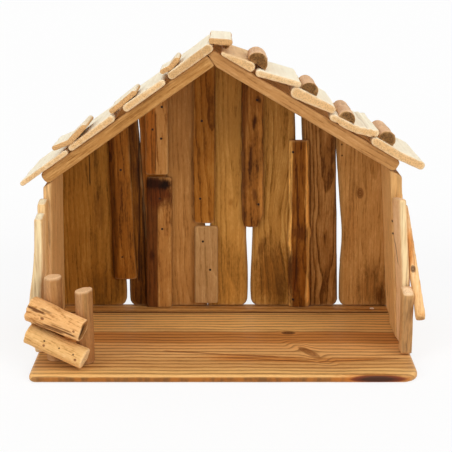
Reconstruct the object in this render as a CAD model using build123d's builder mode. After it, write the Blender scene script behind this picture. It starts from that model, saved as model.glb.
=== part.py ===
from build123d import *
from math import acos, asin, atan2, cos, hypot, radians, sin, sqrt, tan
import os

# driving sizes in millimetres: x to the right, y to the back, z up from the underside
base_front_width = 401.0
base_flare = 8.0
base_thickness = 8.0
base_left_corner = 8.0
base_right_corner = 19.0
base_rear_corner = 4.0
base_edge_round = 2.2
sill_depth = 26.5
sill_thickness = 3.0
plug_radius = 2.6

# gaps left where pieces seat on, or stand beside, one another
seat_gap = 0.05
side_gap = 0.25
cut_overrun = 40.0

back_thickness = 8.0
slat_thickness = 6.0
board_corner = 3.0
back_corner = 9.0
board_mark_drop = 98.3
wall_thickness = 11.0
low_wall_step = 20.7
yard_depth = 50.0
apron_depth = 56.0
brace_width = 15.0
brace_thickness = 8.0

ridge_height = 328.3
ridge_shift = 10.7
left_pitch = 35.2
right_pitch = 30.5
rafter_height = 13.5
rafter_depth = 12.0
rafter_rest = 4.5
ridge_cut = 8.0
rafter_end_round = 4.5
frame_depth = 110.0
roof_thickness = 10.0
roof_overhang = 6.0
roof_rear_overhang = 2.0
roof_end_offset = 3.0
eave_lift = 2.8
strip_lift = 6.0
ridge_stick_radius = 4.0
cap_thickness = 6.4
cap_reach_out = 2.7

post_radius = 9.5
left_post_height = 92.0
right_post_height = 80.0
left_post_slant = 4.0
right_post_slant = 9.0
upper_rail_radius = 12.0
upper_rail_taper = 1.8
lower_rail_radius = 11.5
rail_gap = 3.0
upper_rail_drop = 18.0
lower_rail_drop = 20.9
upper_rail_length = 62.0
lower_rail_length = 67.0
rail_end_reach = 7.0
rail_cope = 1.5

brad_radius = 0.7
brad_head_radius = 1.4
brad_head_height = 0.8
brad_sink = 1.0
brad_fit = 0.05
brad_bite = 6.5
brad_tip_gap = 0.3

# levels and faces that several pieces share
half_width = base_front_width / 2
rear_half_width = half_width + base_flare / 2
tall_front_share = 0.33
tall_depth = frame_depth - tall_front_share * rafter_depth
base_depth = back_thickness + tall_depth + yard_depth + apron_depth
rear_y = base_depth / 2
foot_z = base_thickness + seat_gap
sill_top = foot_z + sill_thickness
back_foot_z = sill_top + seat_gap
back_face = rear_y - back_thickness
inner_rear_y = back_face - seat_gap
slat_face = inner_rear_y - slat_thickness
front_rafter_y = back_face - frame_depth
rear_rafter_y = inner_rear_y - rafter_depth
tall_front_y = back_face - tall_depth
board_mark_height = ridge_height - board_mark_drop
roof_front_y = front_rafter_y - roof_overhang
roof_rear_y = rear_y + roof_rear_overhang

# back boards: left and right edges at the foot and at the mark height, over half the width,
# and the rounds of the left and right foot corners over the back corner
back_shares = (
    (-0.993, -0.592, -0.983, -0.582, 0.1, 1.0),
    (-0.560, -0.433, -0.572, -0.496, 1.0, 0.3),
    (-0.431, -0.335, -0.494, -0.345, 0.1, 0.1),
    (-0.331, -0.104, -0.341, -0.101, 0.3, 0.1),
    (-0.094, 0.136, -0.097, 0.129, 0.1, 1.0),
    (0.170, 0.448, 0.160, 0.413, 1.0, 0.1),
    (0.505, 0.684, 0.446, 0.648, 0.1, 1.0),
    (0.691, 1.012, 0.656, 0.965, 1.0, 0.1),
)

# slats on the back boards: left and right edges at foot and top over half the width,
# heights of foot and top over the mark height (none: on the sill, or up to the rafters)
slat_shares = {
    "back_slat_1": (-0.661, -0.518, -0.672, -0.552, 0.200, None),
    "back_slat_2_upper": (-0.461, -0.323, -0.459, -0.321, 0.7565, None),
    "back_slat_2_lower": (-0.466, -0.310, -0.453, -0.302, None, 0.7457),
    "back_slat_3_upper": (-0.187, -0.052, -0.181, -0.050, 0.500, None),
    "back_slat_3_lower": (-0.179, -0.035, -0.176, -0.035, 0.068, 0.490),
    "back_slat_4": (0.101, 0.236, 0.097, 0.229, 0.474, None),
    "back_slat_5": (0.384, 0.517, 0.370, 0.496, None, 0.9365),
}

# brads of each slat: how far up it and how far across it they stand
slat_brad_shares = {
    "back_slat_1": ((0.160, 0.42), (0.752, 0.54)),
    "back_slat_2_upper": ((0.535, 0.70), (0.668, 0.35), (0.992, 0.74)),
    "back_slat_2_lower": ((0.610, 0.61), (0.840, 0.52)),
    "back_slat_3_upper": ((0.172, 0.34), (0.686, 0.40)),
    "back_slat_3_lower": ((0.443, 0.66), (0.804, 0.36)),
    "back_slat_4": ((0.160, 0.75), (0.822, 0.71)),
    "back_slat_5": ((0.050, 0.22), (0.930, 0.22)),
}

# side walls: side, rear and front edge over the depth of the tall or of the low boards,
# inner foot over half the width, thickness over the wall thickness, lean in degrees,
# rear and front top over the wall height (none: a tall board, up to the rafters)
wall_shares = {
    "left_wall_1": (-1, 0.0, 0.51, 0.958, 0.91, 1.2, None),
    "left_wall_2": (-1, 0.51, 1.0, 0.955, 0.86, 2.0, None),
    "left_wall_3": (-1, 0.0, 0.40, 0.968, 0.82, 1.7, (1.02, 1.00)),
    "left_wall_4": (-1, 0.40, 0.86, 0.968, 0.82, 1.7, (0.95, 0.93)),
    "right_wall_1": (1, 0.0, 0.51, 0.975, 1.00, 4.0, None),
    "right_wall_2": (1, 0.51, 1.0, 0.955, 1.15, 4.0, None),
    "right_wall_3": (1, 0.0, 0.60, 0.969, 0.74, 3.0, (1.02, 1.05)),
    "right_wall_4": (1, 0.60, 1.0, 0.943, 1.14, 0.0, (0.475, 0.42)),
}
brace_ends_shares = ((-0.40, 0.888), (1.0, 0.30))
brace_brad_shares = (0.45, 0.80)
thin_bite_share = 0.8
roof_bite_share = 0.35
edge_round_share = 0.4

# roof boards: places down the slope over the front rafter, half thicknesses over the roof thickness,
# front and rear ends over the end offset, and where along the board its brads stand
left_roof_shares = {
    "roof_board_left_1": ((0.832, 0.27), (1.087, 0.27), 0.2, 0.3, 0.4),
    "roof_board_left_2": ((0.563, 0.36), (0.799, 0.34), 0.6, 0.0, 0.4),
    "roof_board_left_3": ((0.275, 0.35), (0.478, 0.41), 0.0, 0.6, 0.4),
    "roof_board_left_4": ((0.011, 0.46), (0.223, 0.43), 0.3, 0.2, 0.4),
}
right_roof_shares = {
    "roof_board_right_1": ((0.040, 0.18), (0.181, 0.49), 0.3, 0.2, 0.5),
    "roof_board_right_2": ((0.224, 0.36), 0.31, 0.25, 0.0, 0.6, 0.15),
    "roof_board_right_3": ((0.416, 0.60), 0.44, 0.55, 0.5, 0.0, 0.20),
    "roof_board_right_4": ((0.616, 0.35), (0.718, 0.42), 0.42, 0.55, 0.1, 0.4, 0.5),
    "roof_board_right_5": ((0.842, 0.44), (0.966, 0.44), (1.084, 0.44), 0.2, 0.1, 0.5),
}

# covers over the joints: front and rear ends over the roof's depth, then their own sections
half_round_shares = {
    "roof_cover_right_1": (0.09, 0.60, 2.25, 1.30),
    "roof_cover_right_2": (0.03, 0.55, 1.90, 1.08),
    "roof_cover_right_3": (0.02, 0.80, 1.90, 1.00),
    "roof_cover_right_4": (0.04, 0.66, 1.80, 1.25),
}
half_round_seat_shares = (0.15, 0.05, 0.09, 0.05)
strip_half_share = 0.28
bent_strip_shares = {
    "roof_cover_left_1": (0.00, 0.50, 0.836, (0.077, 0.67), (-0.098, 1.27)),
    "roof_cover_left_3": (0.03, 0.46, 0.91, (0.045, 0.23), (-0.044, 0.42)),
}
straight_strip_shares = (0.02, 0.48, -0.08, 0.136)
ridge_stick_shares = (0.40, 0.85, 0.08)
cap_shares = (0.00, 0.80)

post_x_shares = (-0.891, -0.727)
post_y_shares = (0.143, 0.286)
plug_x_share = 0.885
plug_depth_share = 0.40


def pitch(side):
    return radians(right_pitch if side > 0 else left_pitch)


# slope coordinates: u runs down one roof slope, v stands square off the rafters' tops
def slope_plane(side, y):
    down = (side * cos(pitch(side)), 0, -sin(pitch(side)))
    return Plane(origin=(-ridge_shift, y, ridge_height), x_dir=down, z_dir=(0, -side, 0))


def slope_point(side, u, v, y=0):
    across = u * cos(pitch(side)) + v * sin(pitch(side))
    return (side * across - ridge_shift, y, ridge_height - u * sin(pitch(side)) + v * cos(pitch(side)))


def slope_normal(side):
    return (side * sin(pitch(side)), 0, cos(pitch(side)))


def slope_cut(side, below):
    return Plane(origin=slope_point(side, 0, -below), z_dir=slope_normal(side))


# height over the base at which a tall wall's inner face meets the underside of its rafter
def wall_top(name):
    side, rear, front, foot, stock, lean, tops = wall_shares[name]
    across = foot * half_width + side * ridge_shift
    clear = ridge_height - base_thickness - rafter_height / cos(pitch(side)) - across * tan(pitch(side))
    return clear / (1 - tan(radians(lean)) * tan(pitch(side)))


# how far out a wall's outer face is at a height over the base
def outer_x(name, height):
    side, rear, front, foot, stock, lean, tops = wall_shares[name]
    return foot * half_width + stock * wall_thickness / cos(radians(lean)) - height * tan(radians(lean))


# a rafter ends a little outside the inner face of the wall that it rests on
def rafter_length(name):
    side, rear, front, foot, stock, lean, tops = wall_shares[name]
    inner = foot * half_width + side * ridge_shift - tan(radians(lean)) * wall_top(name)
    return (inner + rafter_rest + rafter_height * sin(pitch(side))) / cos(pitch(side))


def under_roof(below):
    for side in (-1, 1):
        split(bisect_by=slope_cut(side, below), keep=Keep.BOTTOM)


def tangent_points(a, b, upper):
    along = atan2(b[1] - a[1], b[0] - a[0])
    turn = acos((a[2] - b[2]) / hypot(b[0] - a[0], b[1] - a[1]))
    angle = along + turn if upper else along - turn
    return [(node[0] + node[2] * cos(angle), node[1] + node[2] * sin(angle)) for node in (a, b)]


# a rounded, tapering section through nodes, each a place and a radius
def limb(nodes):
    for u, v, r in nodes:
        with Locations((u, v)):
            Circle(r)
    for a, b in zip(nodes, nodes[1:]):
        low = tangent_points(a, b, False)
        high = tangent_points(a, b, True)
        Polygon(low[0], low[1], high[1], high[0], align=None)


# a point held off the top line of a limb's first stretch
def above(nodes, share, rise):
    a, b = tangent_points(nodes[0], nodes[1], True)
    length = hypot(b[0] - a[0], b[1] - a[1])
    run, climb = (b[0] - a[0], b[1] - a[1])
    return (a[0] + run * share - climb / length * rise, a[1] + climb * share + run / length * rise)


# the point at a distance uphill from another, along a line that just clears a round end
def uphill(point, node, reach, distance):
    away = (node[0] - point[0], node[1] - point[1])
    angle = atan2(away[1], away[0]) - asin(reach / hypot(away[0], away[1]))
    return (point[0] + distance * cos(angle), point[1] + distance * sin(angle))


def on_rafter(side, share, half_share):
    r = half_share * roof_thickness
    return (share * roof_run[side], r + seat_gap, r)


# a board's lower end that lies on the upper end of the next board down
def on_end(half_share, under, lap_share):
    r = half_share * roof_thickness
    reach = r + under[2] + seat_gap
    return (under[0] - lap_share * reach, under[1] + reach * sqrt(1 - lap_share * lap_share), r)


# a half-round section on the chord from a to b
def half_round(a, b, rise):
    chord = hypot(b[0] - a[0], b[1] - a[1])
    side = 1 if b[0] > a[0] else -1
    up = (-side * (b[1] - a[1]) / chord, side * (b[0] - a[0]) / chord)
    crown = ((a[0] + b[0]) / 2 + up[0] * rise, (a[1] + b[1]) / 2 + up[1] * rise)
    with BuildLine() as outline:
        Line(a, b)
        ThreePointArc(b, crown, a)
    make_face(outline.edges())


# brads: a place is the seat of the head, and its z axis points out of the wood
def place(point, outward):
    return Plane(origin=point, z_dir=outward).location


def drill_blind(brads):
    for spot, length in brads:
        with Locations(spot):
            Cylinder(brad_radius + brad_fit, length + brad_tip_gap,
                     align=(Align.CENTER, Align.CENTER, Align.MAX), mode=Mode.SUBTRACT)


def drill_through(brads):
    drill_blind(brads)
    for spot, length in brads:
        with Locations(spot):
            Cylinder(brad_head_radius + brad_fit, cut_overrun,
                     align=(Align.CENTER, Align.CENTER, Align.MIN), mode=Mode.SUBTRACT)


def make_brads(brads):
    with BuildPart() as pins:
        for spot, length in brads:
            with Locations(spot):
                Cylinder(brad_radius, length, align=(Align.CENTER, Align.CENTER, Align.MAX))
                Cylinder(brad_head_radius, brad_head_height, align=(Align.CENTER, Align.CENTER, Align.MIN))
    return pins


def save(piece, label):
    piece.part.label = label
    export_step(piece.part, f"parts/{label}.step")


# x of a board's edge at a height, from its shares at the foot and at a mark height
def edge_x(foot_share, mark_share, z, low_z, mark_z):
    rise_share = (z - low_z) / (mark_z - low_z)
    return half_width * (foot_share + (mark_share - foot_share) * rise_share)


def roof_depth_y(share):
    return roof_front_y + share * (roof_rear_y - roof_front_y)


def wall_y(share, tops):
    if tops:
        return tall_front_y - share * yard_depth
    return inner_rear_y - share * (inner_rear_y - tall_front_y)


def base_brad(x, y, through):
    return place((x, y, brad_sink), (0, 0, -1)), through - brad_sink + brad_bite


def slope_height(x, below):
    side = 1 if x > -ridge_shift else -1
    u = (side * (x + ridge_shift) + below * sin(pitch(side))) / cos(pitch(side))
    return slope_point(side, u, -below)[2]


os.makedirs("parts", exist_ok=True)
wall_height = wall_top("left_wall_2") - low_wall_step
roof_run = {-1: rafter_length("left_wall_2"), 1: rafter_length("right_wall_2")}

# places of the brads, group by group
wall_brads = {}
for name, (side, rear, front, foot, stock, lean, tops) in wall_shares.items():
    middle = wall_y((rear + front) / 2, tops)
    wall_brads[name] = base_brad(side * (foot * half_width + stock * wall_thickness / 2), middle, foot_z)

post_y_line = wall_y(1, True)
post_places = [(x * half_width, post_y_line - y * apron_depth) for x, y in zip(post_x_shares, post_y_shares)]
post_brads = [base_brad(x, y, foot_z) for x, y in post_places]

foot_brads = []
back_brads = []
for foot_left, foot_right, mark_left, mark_right, left_round, right_round in back_shares:
    x = half_width * (foot_left + foot_right) / 2
    foot_brads.append(base_brad(x, rear_y - back_thickness / 2, back_foot_z))
    x = half_width * (mark_left + mark_right) / 2
    seat = (x, rear_y - brad_sink, slope_height(x, rafter_height / 2))
    back_brads.append((place(seat, (0, 1, 0)), back_thickness - brad_sink + seat_gap + brad_bite))

slat_brads = {}
slat_levels = {}
for name, (foot_left, foot_right, top_left, top_right, low, high) in slat_shares.items():
    low_z = back_foot_z if low is None else low * board_mark_height
    high_z = board_mark_height if high is None else high * board_mark_height
    top_z = slope_height(half_width * top_left, rafter_height) if high is None else high_z
    slat_levels[name] = (low_z, high_z)
    slat_brads[name] = []
    length = slat_thickness - brad_sink + seat_gap + thin_bite_share * back_thickness
    for up, across in slat_brad_shares[name]:
        z = low_z + up * (top_z - low_z)
        left = edge_x(foot_left, top_left, z, low_z, high_z)
        right = edge_x(foot_right, top_right, z, low_z, high_z)
        seat = (left + across * (right - left), slat_face + brad_sink, z)
        slat_brads[name].append((place(seat, (0, -1, 0)), length))
all_slat_brads = [brad for brads in slat_brads.values() for brad in brads]

# base plank with rounded corners and edges
with BuildPart() as base_plank:
    with BuildSketch():
        Polygon((-half_width, -rear_y), (half_width, -rear_y), (rear_half_width, rear_y),
                (-rear_half_width, rear_y), align=None)
        front = vertices().group_by(Axis.Y)[0].sort_by(Axis.X)
        fillet(front[0], radius=base_left_corner)
        fillet(vertices().group_by(Axis.Y)[0].sort_by(Axis.X)[-1], radius=base_right_corner)
        fillet(vertices().group_by(Axis.Y)[-1], radius=base_rear_corner)
    extrude(amount=base_thickness)
    rims = edges().group_by(Axis.Z)[0] + edges().group_by(Axis.Z)[-1]
    fillet(rims, radius=min(base_edge_round, edge_round_share * base_thickness))
    drill_through(list(wall_brads.values()) + post_brads + foot_brads)
save(base_plank, "base_plank")

# thin sill under the back boards, between the side walls, with a round wooden plug
sill_left = -wall_shares["left_wall_1"][3] * half_width + 2 * side_gap
sill_right = wall_shares["right_wall_1"][3] * half_width - 2 * side_gap
plug_place = (plug_x_share * half_width, rear_y - sill_depth + plug_depth_share * sill_depth)
with BuildPart() as back_sill:
    with BuildSketch(Plane.XY.offset(foot_z)):
        Polygon((sill_left, rear_y - sill_depth), (sill_right, rear_y - sill_depth), (sill_right, rear_y),
                (sill_left, rear_y), align=None)
        with Locations(plug_place):
            Circle(plug_radius + seat_gap, mode=Mode.SUBTRACT)
    extrude(amount=sill_thickness)
    drill_blind(foot_brads)
save(back_sill, "back_sill")

with BuildPart() as sill_plug:
    with BuildSketch(Plane.XY.offset(foot_z)):
        with Locations(plug_place):
            Circle(plug_radius)
    extrude(amount=sill_thickness)
save(sill_plug, "sill_plug")

# back boards, cut along both roof slopes just under the roof boards
rear_face = Plane(origin=(0, rear_y, 0), x_dir=(1, 0, 0), z_dir=(0, -1, 0))
for number, (foot_left, foot_right, mark_left, mark_right, left_round, right_round) in enumerate(back_shares):
    top_left = edge_x(foot_left, mark_left, ridge_height, back_foot_z, board_mark_height)
    top_right = edge_x(foot_right, mark_right, ridge_height, back_foot_z, board_mark_height)
    with BuildPart() as back_board:
        with BuildSketch(rear_face):
            Polygon((foot_left * half_width, back_foot_z), (foot_right * half_width, back_foot_z),
                    (top_right, ridge_height), (top_left, ridge_height), align=None)
            most_round = edge_round_share * half_width * (foot_right - foot_left)
            left_foot = vertices().group_by(Axis.Y)[0].sort_by(Axis.X)[0]
            fillet(left_foot, radius=min(left_round * back_corner, most_round))
            right_foot = vertices().group_by(Axis.Y)[0].sort_by(Axis.X)[-1]
            fillet(right_foot, radius=min(right_round * back_corner, most_round))
        extrude(amount=back_thickness)
        under_roof(seat_gap)
        drill_through(back_brads[number:number + 1])
        drill_blind(foot_brads[number:number + 1] + all_slat_brads)
    save(back_board, f"back_board_{number + 1}")

# slats on the face of the back boards
slat_back = Plane(origin=(0, inner_rear_y, 0), x_dir=(1, 0, 0), z_dir=(0, -1, 0))
for name, (foot_left, foot_right, top_left, top_right, low, high) in slat_shares.items():
    low_z, high_z = slat_levels[name]
    end_z = ridge_height if high is None else high_z
    left = edge_x(foot_left, top_left, end_z, low_z, high_z)
    right = edge_x(foot_right, top_right, end_z, low_z, high_z)
    with BuildPart() as slat:
        with BuildSketch(slat_back):
            Polygon((foot_left * half_width, low_z), (foot_right * half_width, low_z), (right, end_z),
                    (left, end_z), align=None)
            fillet(vertices(), radius=board_corner)
        extrude(amount=slat_thickness)
        under_roof(rafter_height + side_gap)
        drill_through(slat_brads[name])
    save(slat, name)

# diagonal brace, leaning on the outer top edge of the lowest board and on the boards behind it
(upper_y, upper_z), (lower_y, lower_z) = brace_ends_shares
brace_slope = (upper_z - lower_z) * wall_height / ((lower_y - upper_y) * yard_depth)
edge_height = (upper_z * wall_height + upper_y * yard_depth * brace_slope
               + brace_width / 2 * hypot(1, brace_slope))
touches = {"right_wall_2": upper_z * wall_height + brace_width / 2, "right_wall_3": edge_height}
lower_touch = wall_shares["right_wall_4"][6][0] * wall_height
lower_x = outer_x("right_wall_4", lower_touch)
brace_lean = min(atan2(lower_x - outer_x(name, z), z - lower_touch) for name, z in touches.items())
brace_foot = lower_x + lower_touch * tan(brace_lean) + seat_gap / cos(brace_lean)
thin_wall = wall_thickness * min(wall_shares["right_wall_3"][4], wall_shares["right_wall_4"][4])
brace_plane = Plane(origin=(brace_foot, 0, base_thickness), x_dir=(0, 1, 0),
                    z_dir=(cos(brace_lean), 0, sin(brace_lean)))
brace_nodes = [(wall_y(y, True), z * wall_height, brace_width / 2) for y, z in brace_ends_shares]
brace_bite = thin_bite_share * thin_wall
brace_brads = []
for share in brace_brad_shares:
    spot = [a + share * (b - a) for a, b in zip(brace_nodes[0], brace_nodes[1])]
    seat = brace_plane.from_local_coords((spot[0], spot[1], brace_thickness - brad_sink))
    brace_brads.append((place(seat, brace_plane.z_dir), brace_thickness - brad_sink + brace_bite))
with BuildPart() as right_brace:
    with BuildSketch(brace_plane):
        limb(brace_nodes)
    extrude(amount=brace_thickness)
    drill_through(brace_brads)
save(right_brace, "right_brace")

# side walls: the tall boards carry the rafters, the front ones step down
for name, (side, rear, front, foot, stock, lean, tops) in wall_shares.items():
    rear_edge = wall_y(rear, tops)
    front_edge = wall_y(front, tops) + side_gap
    rear_top, front_top = (share * wall_height for share in tops) if tops else (ridge_height, ridge_height)
    leaning = Plane(origin=(side * foot * half_width, 0, base_thickness), x_dir=(0, side, 0),
                    z_dir=(side * cos(radians(lean)), 0, sin(radians(lean))))
    low = -wall_thickness * sin(radians(lean))
    with BuildPart() as wall:
        with BuildSketch(leaning):
            Polygon((side * front_edge, low), (side * rear_edge, low), (side * rear_edge, rear_top),
                    (side * front_edge, front_top), align=None)
            fillet(vertices().sort_by(Axis.Y)[-2:], radius=board_corner)
        extrude(amount=stock * wall_thickness)
        split(bisect_by=Plane.XY.offset(foot_z), keep=Keep.TOP)
        if not tops:
            split(bisect_by=slope_cut(side, rafter_height + seat_gap), keep=Keep.BOTTOM)
        drill_blind([wall_brads[name]] + brace_brads)
    save(wall, name)

# sections of the roof boards in slope coordinates
roof_boards = {}
for name, (high, low, front, rear, pinned) in left_roof_shares.items():
    roof_boards[name] = (-1, [on_rafter(-1, *high), on_rafter(-1, *low)], front, rear, pinned)
high, middle, low, front, rear, pinned = right_roof_shares["roof_board_right_5"]
eave = on_rafter(1, *low)
nodes = [on_rafter(1, *high), on_rafter(1, *middle), (eave[0], eave[1] + eave_lift, eave[2])]
roof_boards["roof_board_right_5"] = (1, nodes, front, rear, pinned)
high, middle, half, lap, front, rear, pinned = right_roof_shares["roof_board_right_4"]
nodes = [on_rafter(1, *high), on_rafter(1, *middle), on_end(half, nodes[0], lap)]
roof_boards["roof_board_right_4"] = (1, nodes, front, rear, pinned)
for name in ("roof_board_right_3", "roof_board_right_2"):
    high, half, lap, front, rear, pinned = right_roof_shares[name]
    nodes = [on_rafter(1, *high), on_end(half, nodes[0], lap)]
    roof_boards[name] = (1, nodes, front, rear, pinned)
high, low, front, rear, pinned = right_roof_shares["roof_board_right_1"]
roof_boards["roof_board_right_1"] = (1, [on_rafter(1, *high), on_rafter(1, *low)], front, rear, pinned)

# two brads hold each roof board, one in the front rafter and one in the rear
rafter_rows = {
    "front_rafter_left": (-1, front_rafter_y, rafter_length("left_wall_2")),
    "front_rafter_right": (1, front_rafter_y, rafter_length("right_wall_2")),
    "rear_rafter_left": (-1, rear_rafter_y, rafter_length("left_wall_1")),
    "rear_rafter_right": (1, rear_rafter_y, rafter_length("right_wall_1")),
}
roof_brads = {}
for name, (side, nodes, front, rear, pinned) in roof_boards.items():
    u, v = above(nodes, pinned, -brad_sink)
    roof_brads[name] = []
    for rafter_y in (front_rafter_y, rear_rafter_y):
        seat = slope_point(side, u, v, rafter_y + rafter_depth / 2)
        roof_brads[name].append((place(seat, slope_normal(side)), v + roof_bite_share * rafter_height))

# rafters: at the ridge the right ones butt against the square-cut ends of the left ones
left_down = (-cos(pitch(-1)), 0, -sin(pitch(-1)))
for name, (side, y, length) in rafter_rows.items():
    with BuildPart() as rafter:
        with BuildSketch(slope_plane(side, y)):
            start = ridge_cut if side < 0 else -2 * ridge_cut
            Polygon((start, -rafter_height), (length, -rafter_height), (length, 0), (start, 0), align=None)
            end_round = min(rafter_end_round, edge_round_share * rafter_height)
            fillet(vertices().group_by(Axis.X)[-1], radius=end_round)
        extrude(amount=-side * rafter_depth)
        if side > 0:
            joint = Plane(origin=slope_point(-1, ridge_cut - seat_gap, 0), z_dir=left_down)
            split(bisect_by=joint, keep=Keep.BOTTOM)
            split(bisect_by=slope_cut(-1, seat_gap), keep=Keep.BOTTOM)
        drill_blind([brad for board in roof_brads for brad in roof_brads[board]] + back_brads)
    save(rafter, name)

for name, (side, nodes, front, rear, pinned) in roof_boards.items():
    front_y = roof_front_y + front * roof_end_offset
    rear_end = roof_rear_y - rear * roof_end_offset
    with BuildPart() as roof_board:
        with BuildSketch(slope_plane(side, front_y)):
            limb(nodes)
        extrude(amount=-side * (rear_end - front_y))
        drill_through(roof_brads[name])
    save(roof_board, name)

# half-round covers on the right slope, each seated on the boards below it
for number, (name, (front, rear, width, rise)) in enumerate(half_round_shares.items()):
    seat = half_round_seat_shares[number]
    lower = roof_boards[f"roof_board_right_{number + 2}"][1]
    a = above(lower, seat, seat_gap)
    if number == 0:
        end = roof_boards["roof_board_right_1"][1][1]
        b = uphill(a, end, end[2] + seat_gap, width * roof_thickness)
    else:
        ahead = above(lower, 1, seat_gap)
        length = hypot(ahead[0] - a[0], ahead[1] - a[1])
        step = width * roof_thickness / length
        b = (a[0] + (ahead[0] - a[0]) * step, a[1] + (ahead[1] - a[1]) * step)
    with BuildPart() as half_round_cover:
        with BuildSketch(slope_plane(1, roof_depth_y(front))):
            half_round(a, b, rise * roof_thickness)
        extrude(amount=roof_depth_y(front) - roof_depth_y(rear))
    save(half_round_cover, name)

# bent and straight strips over the joints of the left slope
strip_half = strip_half_share * roof_thickness
strips = {}
for name, (front, rear, seat, down, up) in bent_strip_shares.items():
    under = "roof_board_left_2" if name.endswith("1") else "roof_board_left_4"
    u, v = above(roof_boards[under][1], seat, strip_half + seat_gap)
    nodes = [(u, v, strip_half)]
    for run, lift in (down, up):
        nodes.append((u + run * roof_run[-1], v + lift * strip_lift, strip_half))
    strips[name] = (front, rear, [nodes[1], nodes[0], nodes[2]])
front, rear, seat, run = straight_strip_shares
foot = above(roof_boards["roof_board_left_2"][1], seat, strip_half + seat_gap)
end = roof_boards["roof_board_left_3"][1][1]
head = uphill(foot, end, end[2] + strip_half + seat_gap, run * roof_run[-1])
strips["roof_cover_left_2"] = (front, rear, [(*foot, strip_half), (*head, strip_half)])
for name, (front, rear, nodes) in strips.items():
    with BuildPart() as strip:
        with BuildSketch(slope_plane(-1, roof_depth_y(front))):
            limb(nodes)
        extrude(amount=roof_depth_y(rear) - roof_depth_y(front))
    save(strip, name)

# ridge cap, lying on the top left board and on a round stick that is set back under it
stick_front, stick_rear, stick_seat = ridge_stick_shares
stick_u, stick_v = above(roof_boards["roof_board_right_1"][1], stick_seat, ridge_stick_radius + seat_gap)
with BuildPart() as ridge_stick:
    with BuildSketch(slope_plane(1, roof_depth_y(stick_front))):
        with Locations((stick_u, stick_v)):
            Circle(ridge_stick_radius)
    extrude(amount=roof_depth_y(stick_front) - roof_depth_y(stick_rear))
save(ridge_stick, "ridge_stick")

top_board = roof_boards["roof_board_left_4"][1][0]
cap_reach = cap_thickness / 2 + seat_gap
left_rest = slope_point(-1, top_board[0], top_board[1])
right_rest = slope_point(1, stick_u, stick_v)
cap_line = tangent_points((left_rest[0], left_rest[2], top_board[2] + cap_reach),
                          (right_rest[0], right_rest[2], ridge_stick_radius + cap_reach), True)
cap_span = hypot(cap_line[1][0] - cap_line[0][0], cap_line[1][1] - cap_line[0][1])
cap_end = tuple(b + (b - a) / cap_span * cap_reach_out for a, b in zip(*cap_line))
cap_front, cap_rear = cap_shares
cap_plane = Plane(origin=(0, roof_depth_y(cap_front), 0), x_dir=(1, 0, 0), z_dir=(0, -1, 0))
with BuildPart() as ridge_cap:
    with BuildSketch(cap_plane):
        limb([(*point, cap_thickness / 2) for point in (cap_line[0], cap_end)])
    extrude(amount=roof_depth_y(cap_front) - roof_depth_y(cap_rear))
save(ridge_cap, "ridge_cap")

# fence: two round posts, and two log rails coped to them that slope down to the front
gap_x = post_places[1][0] - post_places[0][0]
gap_y = post_places[1][1] - post_places[0][1]
post_gap = hypot(gap_x, gap_y)
along = (gap_x / post_gap, gap_y / post_gap)
out = (along[1], -along[0])
lower_end_z = foot_z + lower_rail_radius * cos(radians(lower_rail_drop))
upper_span = upper_rail_length * cos(radians(upper_rail_drop))
stacked = (lower_rail_radius + upper_rail_radius + rail_gap) / cos(radians(lower_rail_drop))
drop_change = tan(radians(lower_rail_drop)) - tan(radians(upper_rail_drop))
upper_end_z = lower_end_z + stacked + upper_span * drop_change
lower_row = (lower_rail_radius, lower_rail_drop, lower_rail_length, lower_end_z, 0)
upper_row = (upper_rail_radius, upper_rail_drop, upper_rail_length, upper_end_z, upper_rail_taper)
rail_rows = {"fence_rail_lower": lower_row, "fence_rail_upper": upper_row}
fence_brads = {}
for name, (radius, drop, length, end_z, taper) in rail_rows.items():
    stand_off = post_radius + radius - rail_cope
    fence_brads[name] = []
    for (x, y), back in zip(post_places, (post_gap, 0)):
        z = end_z + (rail_end_reach + back) * tan(radians(drop))
        reach = stand_off + radius - brad_sink
        seat = (x + out[0] * reach, y + out[1] * reach, z)
        fence_brads[name].append((place(seat, (*out, 0)), reach - post_radius + brad_bite))

post_tops = ((left_post_height, left_post_slant), (right_post_height, right_post_slant))
for label, (x, y), (height, slant) in zip(("fence_post_left", "fence_post_right"), post_places, post_tops):
    top = Plane(origin=(x, y, foot_z + height), z_dir=(-sin(radians(slant)), 0, cos(radians(slant))))
    with BuildPart() as post:
        with BuildSketch(Plane.XY.offset(foot_z)):
            with Locations((x, y)):
                Circle(post_radius)
        extrude(amount=height + post_radius)
        split(bisect_by=top, keep=Keep.BOTTOM)
        drill_blind(post_brads + [brad for rail in fence_brads for brad in fence_brads[rail]])
    save(post, label)

for name, (radius, drop, length, end_z, taper) in rail_rows.items():
    stand_off = post_radius + radius - rail_cope
    end = (post_places[1][0] + out[0] * stand_off + along[0] * rail_end_reach,
           post_places[1][1] + out[1] * stand_off + along[1] * rail_end_reach, end_z)
    uphill_dir = (-along[0] * cos(radians(drop)), -along[1] * cos(radians(drop)), sin(radians(drop)))
    with BuildPart() as rail:
        with BuildSketch(Plane(origin=end, z_dir=uphill_dir)):
            Circle(radius)
        extrude(amount=length, taper=-taper)
        with BuildSketch(Plane.XY.offset(foot_z)):
            with Locations(*post_places):
                Circle(post_radius + seat_gap)
        extrude(amount=left_post_height, mode=Mode.SUBTRACT)
        drill_through(fence_brads[name])
    save(rail, name)

# brads, one node for each job
save(make_brads(list(wall_brads.values()) + post_brads + foot_brads), "base_brads")
save(make_brads(back_brads), "back_brads")
save(make_brads(all_slat_brads), "slat_brads")
save(make_brads(brace_brads), "brace_brads")
save(make_brads([brad for board in roof_brads for brad in roof_brads[board]]), "roof_brads")
save(make_brads([brad for rail in fence_brads for brad in fence_brads[rail]]), "fence_brads")
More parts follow.
